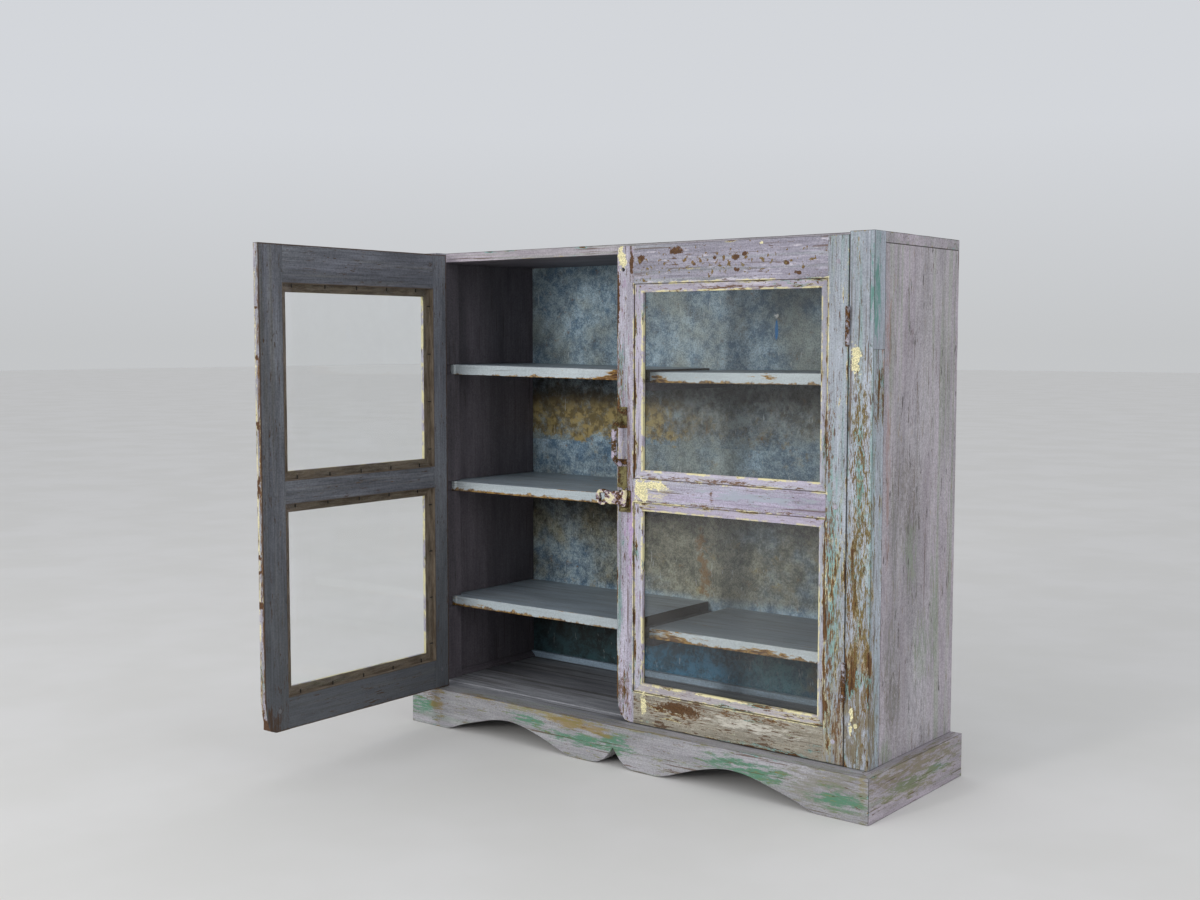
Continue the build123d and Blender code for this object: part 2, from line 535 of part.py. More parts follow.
for name, shape in nodes.items():
    export_step(Pos(0, Y_SHIFT, 0) * shape, f"parts/{name}.step")
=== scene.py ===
"""The looks of an old painted china cabinet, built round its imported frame. Metres throughout."""
import json
import math

import bmesh
import bpy
from mathutils import Matrix, Vector, noise

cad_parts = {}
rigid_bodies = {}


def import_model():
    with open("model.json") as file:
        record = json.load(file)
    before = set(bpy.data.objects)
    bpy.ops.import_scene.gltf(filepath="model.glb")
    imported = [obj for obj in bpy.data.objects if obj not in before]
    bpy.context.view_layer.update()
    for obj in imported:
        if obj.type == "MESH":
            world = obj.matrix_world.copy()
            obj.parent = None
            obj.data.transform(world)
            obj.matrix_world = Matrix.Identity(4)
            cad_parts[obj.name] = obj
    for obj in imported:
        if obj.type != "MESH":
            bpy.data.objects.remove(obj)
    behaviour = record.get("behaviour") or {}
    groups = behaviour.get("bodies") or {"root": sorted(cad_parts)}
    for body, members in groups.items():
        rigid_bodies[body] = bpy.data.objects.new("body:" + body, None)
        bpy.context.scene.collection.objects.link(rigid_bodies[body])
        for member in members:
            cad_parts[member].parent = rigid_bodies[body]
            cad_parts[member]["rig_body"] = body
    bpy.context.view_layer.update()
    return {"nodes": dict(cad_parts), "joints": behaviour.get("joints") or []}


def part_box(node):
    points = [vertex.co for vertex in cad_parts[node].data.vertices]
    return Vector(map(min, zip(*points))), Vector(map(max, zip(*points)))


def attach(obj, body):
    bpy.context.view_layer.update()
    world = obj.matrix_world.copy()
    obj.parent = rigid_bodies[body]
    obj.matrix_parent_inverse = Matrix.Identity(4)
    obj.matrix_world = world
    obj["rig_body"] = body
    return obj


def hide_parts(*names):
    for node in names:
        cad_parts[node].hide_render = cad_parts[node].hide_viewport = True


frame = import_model()

MM = 0.001
OPEN_ANGLE = math.radians(88.5)      # how far the left door stands open at rest
LEFT_PIN = Vector([j for j in frame["joints"] if j["name"] == "left_door_hinge"][0]["pos_m"])
SHUT = (Matrix.Translation(LEFT_PIN) @ Matrix.Rotation(OPEN_ANGLE, 4, "Z")
        @ Matrix.Translation(-LEFT_PIN))
GLASS_LAP = 1.0 * MM                 # how far the glass stops short of the rebate's wall
MOULDING = 13.0 * MM                 # width of the moulding round each pane

# the inside of the case, from the boards that bound it
SIDE_IN_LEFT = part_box("side_panel_left")[1].x
SIDE_IN_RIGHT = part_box("side_panel_right")[0].x
TOP_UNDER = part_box("top_panel")[0].z
FLOOR_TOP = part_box("bottom_panel")[1].z
DOOR_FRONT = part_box("right_hinge_stile")[0].y
DOOR_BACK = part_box("right_hinge_stile")[1].y
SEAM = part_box("back_sheet_upper")[0].z


def face(node, corner, axis):
    """Where a piece's face stands, in whole millimetres, for marks given on it."""
    return round(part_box(node)[corner][axis] / MM)


FRONT = face("right_hinge_stile", 0, 1)         # of the doors and posts
SIDE = face("side_panel_right", 1, 0)           # outside of the case
APRON = face("plinth_front", 0, 1)
PLINTH_SIDE = face("plinth_side_right", 1, 0)
SHELF_FRONT = face("shelf_top_right", 0, 1)


# ---- camera, light and floor -------------------------------------------------------
def link(obj):
    bpy.context.scene.collection.objects.link(obj)
    return obj


def make_camera():
    """The photo's viewing angle."""
    data = bpy.data.cameras.new("camera")
    data.sensor_fit = "HORIZONTAL"
    data.sensor_width = 36.0
    data.lens = 43.28
    camera = link(bpy.data.objects.new("camera", data))
    camera.location = (1.379, -2.0446, 0.6694)
    camera.rotation_euler = (math.radians(85.70), 0.0, math.radians(38.64))
    bpy.context.scene.camera = camera


def area_light(name, place, aim, size, power, colour):
    data = bpy.data.lights.new(name, "AREA")
    data.shape = "RECTANGLE"
    data.size, data.size_y = size
    data.energy = power
    data.color = colour
    lamp = link(bpy.data.objects.new(name, data))
    lamp.location = place
    lamp.rotation_euler = (Vector(aim) - Vector(place)).to_track_quat("-Z", "Y").to_euler()


def make_stage():
    """A plain pale floor, a pale surround and soft window light from the front left."""
    mesh = bpy.data.meshes.new("floor")
    grid = bmesh.new()
    bmesh.ops.create_grid(grid, x_segments=8, y_segments=8, size=30.0)
    grid.to_mesh(mesh)
    grid.free()
    floor = link(bpy.data.objects.new("floor", mesh))
    n = Net("floor")
    soft = n.noise(n.place(), 2.5, detail=3)
    colour = n.mix(n.ramp(soft, 0.35, 0.65), rgb(0xE4E2DE), rgb(0xE8E6E3))
    n.finish(colour, roughness=1.0, specular=0.1)
    floor.data.materials.append(n.material)
    world = bpy.data.worlds.new("surround")
    world.use_nodes = True
    nodes, wire = world.node_tree.nodes, world.node_tree.links.new
    background = nodes["Background"]
    background.inputs["Strength"].default_value = 0.80
    place, height = nodes.new("ShaderNodeTexCoord"), nodes.new("ShaderNodeSeparateXYZ")
    tone = nodes.new("ShaderNodeValToRGB")
    tone.color_ramp.elements[0].color = rgb(0xD9DBDD)
    tone.color_ramp.elements[1].color = rgb(0xE9ECF1)
    tone.color_ramp.elements[1].position = 0.14
    wire(place.outputs["Generated"], height.inputs[0])
    wire(height.outputs[2], tone.inputs[0])
    wire(tone.outputs[0], background.inputs["Color"])
    bpy.context.scene.world = world
    bpy.context.scene.view_settings.view_transform = "Standard"
    area_light("window", (-0.43, -4.3, 1.20), (0.0, -0.1, 0.42), (0.40, 0.8), 36.0,
               (1.0, 0.99, 0.97))
    area_light("room_fill", (-0.8, -4.0, 2.05), (0.0, -0.1, 0.35), (2.4, 1.6), 26.0,
               (0.98, 0.99, 1.0))
    area_light("side_fill", (3.2, -1.2, 1.6), (0.4, -0.1, 0.4), (1.6, 1.6), 12.0,
               (0.95, 0.97, 1.0))


# ---- short calls for shader nodes --------------------------------------------------
def rgb(code):
    """An sRGB hex colour as linear RGBA."""
    parts = [((code >> shift) & 255) / 255 for shift in (16, 8, 0)]
    return tuple(c / 12.92 if c <= 0.04045 else ((c + 0.055) / 1.055) ** 2.4
                 for c in parts) + (1.0,)


class Net:
    """One material's nodes. Any input may be a socket, a number or a tuple."""

    def __init__(self, name):
        self.material = bpy.data.materials.new(name)
        self.material.use_nodes = True
        self.tree = self.material.node_tree
        self.tree.nodes.clear()

    def add(self, kind, inputs, out=0, **settings):
        node = self.tree.nodes.new("ShaderNode" + kind)
        for key, value in settings.items():
            setattr(node, key, value)
        for key, value in inputs.items():
            if isinstance(value, bpy.types.NodeSocket):
                self.tree.links.new(value, node.inputs[key])
            else:
                node.inputs[key].default_value = value
        return node.outputs[out]

    def math(self, operation, a, b=0.0):
        return self.add("Math", {0: a, 1: b}, operation=operation)

    def vector(self, operation, a, b=(0.0, 0.0, 0.0), out=0):
        return self.add("VectorMath", {0: a, 1: b}, out=out, operation=operation)

    def total(self, *terms):
        out = terms[0]
        for term in terms[1:]:
            out = self.math("ADD", out, term)
        return out

    def times(self, a, b):
        return self.math("MULTIPLY", a, b)

    def ramp(self, x, low, high, start=0.0, end=1.0):
        return self.add("MapRange", {0: x, 1: low, 2: high, 3: start, 4: end},
                        interpolation_type="SMOOTHSTEP")

    def mix(self, factor, a, b, blend="MIX"):
        return self.add("Mix", {0: factor, 6: a, 7: b}, out=2, data_type="RGBA", blend_type=blend)

    def noise(self, p, scale, detail=5, rough=0.6, distort=0.0):
        return self.add("TexNoise", {"Vector": p, "Scale": scale, "Detail": detail,
                                     "Roughness": rough, "Distortion": distort})

    def wander(self, p, scale, **look):
        """Noise that runs either side of 0."""
        return self.math("SUBTRACT", self.noise(p, scale, **look), 0.5)

    def shade(self, colour, by):
        return self.mix(1.0, colour, by, blend="MULTIPLY")

    def place(self):
        return self.add("TexCoord", {}, out=3)

    def split(self, p):
        self.add("SeparateXYZ", {0: p})
        node = self.tree.nodes[-1]
        return node.outputs[0], node.outputs[1], node.outputs[2]

    def finish(self, colour, roughness, height=None, relief=0.3 * MM, metallic=0.0, specular=0.3):
        shader = {"Base Color": colour, "Roughness": roughness, "Metallic": metallic,
                  "Specular IOR Level": specular}
        if height is not None:
            shader["Normal"] = self.add("Bump", {"Height": height, "Distance": relief,
                                                 "Strength": 0.8})
        surface = self.add("BsdfPrincipled", shader)
        self.add_output(surface)

    def add_output(self, surface):
        node = self.tree.nodes.new("ShaderNodeOutputMaterial")
        self.tree.links.new(surface, node.inputs["Surface"])


# ---- one wooden piece --------------------------------------------------------------
GRAIN = {"x": (0.16, 1.0, 1.0), "y": (1.0, 0.16, 1.0), "z": (1.0, 1.0, 0.16)}
THROUGH = 14.0 * MM      # a mark's depth where it is only given on a face


class Board(Net):
    """A piece's coordinates: p in metres, g shortened along the grain, edge from its arris.

    A piece of the left door is painted as if the door were shut."""

    def __init__(self, node, grain):
        super().__init__(node)
        swung = node.startswith("left_") and "post" not in node
        mesh = frame["nodes"][node].data
        points = [SHUT @ v.co if swung else v.co.copy() for v in mesh.vertices]
        self.lo = Vector([min(p[i] for p in points) for i in range(3)])
        self.hi = Vector([max(p[i] for p in points) for i in range(3)])
        self.p = self.place()
        if swung:
            self.p = self.add("VectorRotate", {0: self.p, 1: LEFT_PIN, 3: OPEN_ANGLE},
                              rotation_type="Z_AXIS")
        seed = Vector((sum(map(ord, node)) % 97, len(node), ord(node[-1]) % 13)) * 0.37
        shifted = self.vector("ADD", self.p, seed)
        self.q = shifted
        self.g = self.vector("MULTIPLY", shifted, GRAIN[grain])
        self.streak = self.vector("MULTIPLY", self.g, GRAIN[grain])
        self.x, self.y, self.z = self.split(self.p)
        near = self.vector("MINIMUM", self.vector("SUBTRACT", self.p, self.lo),
                           self.vector("SUBTRACT", self.hi, self.p))
        a, b, c = self.split(near)
        low, high = self.math("MINIMUM", a, b), self.math("MAXIMUM", a, b)
        self.edge = self.math("MAXIMUM", low, self.math("MINIMUM", high, c))

    def within(self, axis, low, high, soft=0.3 * MM):
        """1 where the coordinate lies from low to high."""
        value = {"x": self.x, "y": self.y, "z": self.z}[axis]
        return self.times(self.ramp(value, low - soft, low), self.ramp(value, high, high + soft,
                                                                     1.0, 0.0))

    def reach(self, centre, half):
        """0 at a mark's middle, 1 at its rim. Millimetres; a half size of 0 means right through."""
        half = [h * MM or THROUGH for h in half]
        offset = self.vector("SUBTRACT", self.p, [c * MM for c in centre])
        return self.vector("LENGTH", self.vector("DIVIDE", offset, half), out=1)

    def nearest(self, places):
        out = self.reach(*places[0])
        for place in places[1:]:
            out = self.math("MINIMUM", out, self.reach(*place))
        return out

    def chips(self, places, ragged=4.5):
        """Solid patches with broken rims and loose islands."""
        wander = self.wander(self.q, 75.0, detail=8, rough=0.78)
        return self.ramp(self.total(self.nearest(places), self.times(wander, -ragged)), 1.0, 0.9)

    def cloud(self, places):
        """1 in the middle of each place, fading out past its rim."""
        return self.ramp(self.nearest(places), 1.6, 0.1)

    def smear(self, places):
        """Paint dragged thinly along the grain over each place."""
        field = self.total(self.noise(self.g, 180.0, detail=8, rough=0.78),
                           self.times(self.cloud(places), 0.16))
        return self.ramp(field, 0.56, 0.67)

    def scales(self, places):
        """A dense net of small flakes over each place."""
        field = self.total(self.times(self.noise(self.g, 190.0, detail=9, rough=0.80), 0.6),
                           self.times(self.noise(self.g, 620.0, detail=3, rough=0.7), 0.4),
                           self.times(self.cloud(places), 0.09))
        return self.ramp(field, 0.575, 0.60)

    def spots(self, places):
        """Scattered round flakes over each place."""
        field = self.total(self.noise(self.q, 130.0, detail=5, rough=0.6),
                           self.times(self.cloud(places), 0.08))
        return self.ramp(field, 0.645, 0.665)

    def wood(self, pale=rgb(0x7E5C3A), dark=rgb(0x452D1B)):
        lines = self.noise(self.streak, 420.0, detail=5, rough=0.75)
        return self.mix(self.ramp(lines, 0.40, 0.60), dark, pale)

    def cracks(self, amount, splits=()):
        """Fine splits along the grain, more in some places than in others."""
        fine = self.noise(self.streak, 300.0, detail=3, rough=0.5, distort=0.3)
        where = self.times(self.wander(self.q, 8.0, detail=2), 0.35)
        if splits:
            where = self.total(where, self.times(self.cloud(splits), 0.07))
        return self.ramp(self.total(fine, where), amount + 0.05, amount + 0.07)

    def wear(self):
        """What wear follows: about 0.5, in ragged patches along the grain."""
        return self.noise(self.g, 80.0, detail=9, rough=0.74)

    def flecks(self, share, scale=330.0):
        """Small pits and flakes, in drifts."""
        fine = self.noise(self.g, scale, detail=3, rough=0.6)
        where = self.times(self.wander(self.q, 13.0, detail=3), 0.45)
        return self.ramp(self.total(fine, where), share, share + 0.03)


def layered(b, top, under, wear, hold, halo=0.035):
    """A top coat over an under coat over wood, gone where wear is over hold."""
    off = b.ramp(wear, hold, hold + 0.012)
    bare = b.ramp(wear, hold + halo, hold + halo + 0.012)
    colour = b.mix(bare, b.mix(off, top, under), b.wood())
    height = b.math("SUBTRACT", 1.0, b.total(b.times(off, 0.45), b.times(bare, 0.45)))
    return colour, height, bare


def grimy(b, colour, amount=0.45):
    """Dirt in the joints, along each arris, and in cloudy patches."""
    line = b.ramp(b.edge, 0.2 * MM, 1.3 * MM, amount, 0.0)
    cloud = b.ramp(b.noise(b.g, 14.0, detail=6, rough=0.7), 0.45, 0.70, 0.0, 0.26)
    return b.mix(b.total(line, cloud), colour, rgb(0x33291F))


def brushed(b, light, dark, tint=None, streaks=0.5, contrast=0.30):
    """Old paint drifting between two tones and a tint, streaked along the grain and mottled."""
    drift = b.ramp(b.noise(b.g, 7.0, detail=4), 0.38, 0.62)
    colour = b.mix(drift, dark, light)
    if tint:
        colour = b.mix(b.ramp(b.noise(b.streak, 75.0, detail=6, rough=0.7), 0.50, 0.66, 0.0, 0.8),
                       colour, tint)
    lines = b.noise(b.streak, 420.0, detail=5, rough=0.78)
    fine = b.noise(b.q, 420.0, detail=4, rough=0.7)
    shade = b.total(b.times(lines, streaks), b.times(fine, 1.0 - streaks))
    shade = b.ramp(shade, 0.36, 0.64, 1.0 - contrast, 1.0 + contrast * 0.7)
    patches = b.noise(b.g, 30.0, detail=7, rough=0.72)
    patches = b.ramp(patches, 0.38, 0.62, 1.0 - contrast * 0.5, 1.0 + contrast * 0.35)
    shade = b.times(shade, patches)
    return b.shade(colour, shade)


LILAC = rgb(0xB7B2C0), rgb(0x9D9AA3), rgb(0xA3AFB2)
SIDE_LILAC = rgb(0xBDB3BD), rgb(0xA9A4A9), rgb(0x9CA195)
POST_BLUE = rgb(0xBDC4CE), rgb(0xA5ABB6), rgb(0x9BB5B5)
WHITE_LILAC = rgb(0xB4B1B8), rgb(0x9F9EA1), rgb(0x979F97)
BROWN = rgb(0x6E4F30)
OLIVE = rgb(0x77683F)
SLATE = rgb(0x76797F), rgb(0x696B73), rgb(0x70706F)
PURPLE = rgb(0x6C656B), rgb(0x575257)
SHELF_BLUE = rgb(0xB6C2CA), rgb(0x9CA8B2), rgb(0x8F979C)
SHELF_EDGE = rgb(0xC9D0D2), rgb(0xB4BEC2)
FLOOR_GREY = rgb(0xA0A1A6), rgb(0x6F6F74), rgb(0x5E5A58)
CREAM = rgb(0xE7DEB0)
TEAL = rgb(0x5C9488)
MINT = rgb(0x8DB9B4)
OCHRE = rgb(0xA9833F)
RUST = rgb(0x573A22)
GREEN = rgb(0x56866C)
WEATHERED = rgb(0xA59C88)


def inside_case(b):
    """1 on what faces the inside of the case."""
    soft = 0.6 * MM
    across = b.within("x", SIDE_IN_LEFT - soft, SIDE_IN_RIGHT + soft)
    return b.times(b.times(across, b.ramp(b.z, TOP_UNDER + 2 * soft, TOP_UNDER + soft)),
                   b.ramp(b.y, DOOR_BACK - 1 * MM, DOOR_BACK + 1 * MM))


def interior(b):
    colour = brushed(b, *PURPLE, streaks=0.4)
    return b.mix(b.times(b.cracks(0.62), 0.5), colour, rgb(0x35291F))


def coloured(b, colour, tints):
    """Adds other colours as "smear", "scales", "spots" or solid "chips"."""
    kinds = {"smear": b.smear, "scales": b.scales, "spots": b.spots, "chips": b.chips}
    for kind, tint, strength, places in tints:
        mask = kinds[kind](places)
        if kind != "smear":
            grit = b.ramp(b.noise(b.q, 600.0, detail=3), 0.40, 0.60, 0.72, 1.25)
            tint = b.shade(tint, grit)
        colour = b.mix(b.times(mask, strength), colour, tint)
    return colour


def marked(b, wear, marks):
    """Adds each mark's amount to the wear over its places."""
    for amount, places in marks:
        wear = b.total(wear, b.times(b.cloud(places), amount))
    return wear


def worn(b, top, under, hold, marks, edge_wear):
    """Wear over the whole piece, heavier at the arrises and at the marks."""
    wear = b.total(b.wear(), b.ramp(b.edge, 0.0, 5 * MM, edge_wear, 0.0))
    return layered(b, top, under, marked(b, wear, marks), hold)


def case_board(node, grain, tones, hold=0.64, marks=(), tints=(), edge_wear=0.08,
               flecks=0.70, crack=0.60, splits=(), contrast=0.30, streaks=0.5, dirt=0.6,
               dashes=0.0):
    """An outside board of the case, dull purple-grey where it faces inwards."""
    b = Board(node, grain)
    top = coloured(b, brushed(b, *tones, streaks=streaks, contrast=contrast),
                   [t for t in tints if t[0] == "smear"])
    under = b.mix(b.ramp(b.noise(b.q, 16.0), 0.46, 0.56), rgb(0xB5A888), MINT)
    colour, height, bare = worn(b, top, under, hold, marks, edge_wear)
    colour = b.mix(b.times(b.flecks(flecks), 0.8), colour, RUST)
    if dashes:
        colour = b.mix(b.times(b.flecks(dashes, scale=140.0), 0.8), colour, rgb(0x4E4A46))
    colour = b.mix(b.times(b.cracks(crack, splits=splits), 0.7), colour, RUST)
    colour = coloured(b, colour, [t for t in tints if t[0] != "smear"])
    colour = b.mix(inside_case(b), grimy(b, colour, dirt), interior(b))
    b.finish(colour, b.ramp(bare, 0.0, 1.0, 0.58, 0.85), height)
    return b.material


def frame_sd(b, side):
    """Distance outside the nearer pane's moulding line, negative on the moulding."""
    distances = []
    for level in ("lower", "upper"):
        glass = frame["nodes"][f"{side}_glass_{level}"].data
        points = [SHUT @ v.co if side == "left" else v.co for v in glass.vertices]
        out = []
        for axis, value in ((0, b.x), (2, b.z)):
            low = min(p[axis] for p in points) - GLASS_LAP
            high = max(p[axis] for p in points) + GLASS_LAP
            centred = b.math("ABSOLUTE", b.math("SUBTRACT", value, (low + high) / 2))
            out.append(b.math("SUBTRACT", centred, (high - low) / 2))
        distances.append(b.math("MAXIMUM", out[0], out[1]))
    return b.math("MINIMUM", distances[0], distances[1])


def door_board(node, grain, side, tones=LILAC, hold=0.63, marks=(), tints=(), flecks=0.68,
               splits=()):
    """A stile or rail: worn paint outside, slate inside, bare wood in the glazing rebate."""
    b = Board(node, grain)
    sd = frame_sd(b, side)
    moulding = b.ramp(sd, 0.0, -1 * MM)
    top = b.mix(b.times(moulding, 0.4), brushed(b, *tones, contrast=0.36), rgb(0xCFC6D6))
    top = coloured(b, top, [t for t in tints if t[0] == "smear"])
    wander = b.wander(b.q, 110.0, detail=6, rough=0.72)
    ragged = b.total(sd, b.times(wander, 7 * MM))
    sight = b.ramp(ragged, -MOULDING + 3.2 * MM, -MOULDING + 2.2 * MM)
    rim = b.times(b.ramp(ragged, 2.4 * MM, 1.8 * MM), b.ramp(ragged, -1.6 * MM, -1.0 * MM))
    broken = b.ramp(b.noise(b.q, 22.0, detail=4, rough=0.7), 0.44, 0.52)
    top = b.mix(b.times(b.math("MAXIMUM", sight, rim), broken), top, CREAM)
    wear = b.total(b.wear(), b.ramp(b.edge, 0.0, 4 * MM, 0.09, 0.0), b.times(moulding, 0.045),
                   b.ramp(b.math("ABSOLUTE", sd), 5 * MM, 0.0, 0.0, 0.06))
    wear = marked(b, wear, marks)
    under = b.mix(b.ramp(b.noise(b.q, 14.0), 0.50, 0.60), CREAM, MINT)
    colour, height, bare = layered(b, top, under, wear, hold, halo=0.022)
    gap = b.times(b.ramp(b.math("ABSOLUTE", sd), 1.2 * MM, 0.2 * MM), 0.85)
    colour = b.mix(gap, colour, rgb(0x3A2A1C))
    colour = b.mix(b.times(b.flecks(flecks), 0.85), colour, RUST)
    colour = b.mix(b.times(b.cracks(0.60, splits=splits), 0.6), colour, RUST)
    colour = coloured(b, colour, [t for t in tints if t[0] != "smear"])
    colour = grimy(b, colour, 0.6)
    slate = b.mix(b.ramp(b.wear(), 0.625, 0.66), brushed(b, *SLATE, streaks=0.6, contrast=0.42),
                  rgb(0x6A5138))
    slate = b.mix(b.ramp(b.z, 520 * MM, 100 * MM, 0.0, 0.6), slate, rgb(0x4D5053))
    slate = b.mix(b.flecks(0.67), slate, rgb(0x4A3A2C))
    arris = b.ramp(b.total(b.edge, b.times(wander, 5 * MM)), 0.6 * MM, 3.2 * MM, 0.85, 0.0)
    slate = b.mix(arris, slate, rgb(0x4C3726))
    joint = b.ramp(b.math("ABSOLUTE", sd), 2.5 * MM, 0.8 * MM, 0.0, 0.6)
    foot = b.smear([((-12, -237, 78), (26, 0, 36))])
    slate = b.mix(b.math("MAXIMUM", joint, b.times(foot, 0.9)), slate, rgb(0x4C3726))
    back = b.ramp(b.y, DOOR_BACK - 0.8 * MM, DOOR_BACK - 0.3 * MM)
    colour = b.mix(back, colour, slate)
    rebate = b.times(b.ramp(sd, 1 * MM, 0.3 * MM),
                     b.ramp(b.y, DOOR_FRONT + 11 * MM, DOOR_FRONT + 11.6 * MM))
    rough_wood = b.mix(b.ramp(b.noise(b.g, 170.0, detail=6, rough=0.7), 0.38, 0.62),
                       rgb(0x5A4E40), rgb(0x7D7060))
    colour = b.mix(rebate, colour, rough_wood)
    b.finish(colour, b.ramp(bare, 0.0, 1.0, 0.55, 0.85), height)
    return b.material


def shelf_board(node, rubbed=()):
    """Grey-blue on top, a paler front edge, ochre wood where the edge is rubbed."""
    b = Board(node, "x")
    front = b.ramp(b.y, b.lo.y + 1.6 * MM, b.lo.y + 0.8 * MM)
    top = b.mix(front, brushed(b, *SHELF_BLUE, streaks=0.75, contrast=0.24),
                brushed(b, *SHELF_EDGE, streaks=0.3, contrast=0.14))
    low = b.ramp(b.z, b.lo.z, b.lo.z + 6 * MM, 0.19, 0.0)
    high = b.ramp(b.z, b.hi.z - 2.5 * MM, b.hi.z, 0.0, 0.10)
    wear = b.total(b.wear(), b.times(front, b.total(low, high)))
    if rubbed:
        wear = b.total(wear, b.times(b.cloud(rubbed), 0.16))
    colour, height, bare = layered(b, top, OCHRE, wear, 0.625, halo=0.04)
    wander = b.times(b.wander(b.q, 45.0, detail=6, rough=0.7), 26 * MM)
    line = b.ramp(b.total(b.z, wander), b.lo.z + 4.5 * MM, b.lo.z + 3 * MM)
    rubbed_line = b.mix(b.ramp(b.noise(b.q, 160.0), 0.4, 0.6), rgb(0x5B4022), rgb(0xA98547))
    colour = b.mix(b.times(b.times(line, front), 0.9), colour, rubbed_line)
    colour = b.mix(b.times(b.cracks(0.62), 0.5), colour, rgb(0x4A4038))
    underside = b.ramp(b.z, b.lo.z + 0.8 * MM, b.lo.z + 0.3 * MM)
    colour = b.mix(underside, colour, brushed(b, *PURPLE))
    if node.endswith("left"):
        inner_end = b.ramp(b.x, b.hi.x - 1.2 * MM, b.hi.x - 0.6 * MM)
    else:
        inner_end = b.ramp(b.x, b.lo.x + 1.2 * MM, b.lo.x + 0.6 * MM)
    colour = b.mix(inner_end, colour, rgb(0x3B2B1E))
    b.finish(grimy(b, colour, 0.2), b.ramp(bare, 0.0, 1.0, 0.5, 0.85), height)
    return b.material


def shadow_under_shelves(b):
    """Painted shadow: 1 just under each shelf, fading out downwards."""
    out = 0.0
    for level, depth in (("top", 75 * MM), ("middle", 105 * MM), ("bottom", 130 * MM)):
        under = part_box(f"shelf_{level}_left")[0].z
        band = b.times(b.ramp(b.z, under - depth, under - depth * 0.25),
                       b.ramp(b.z, under + 6 * MM, under))
        out = b.math("MAXIMUM", out, band)
    return out


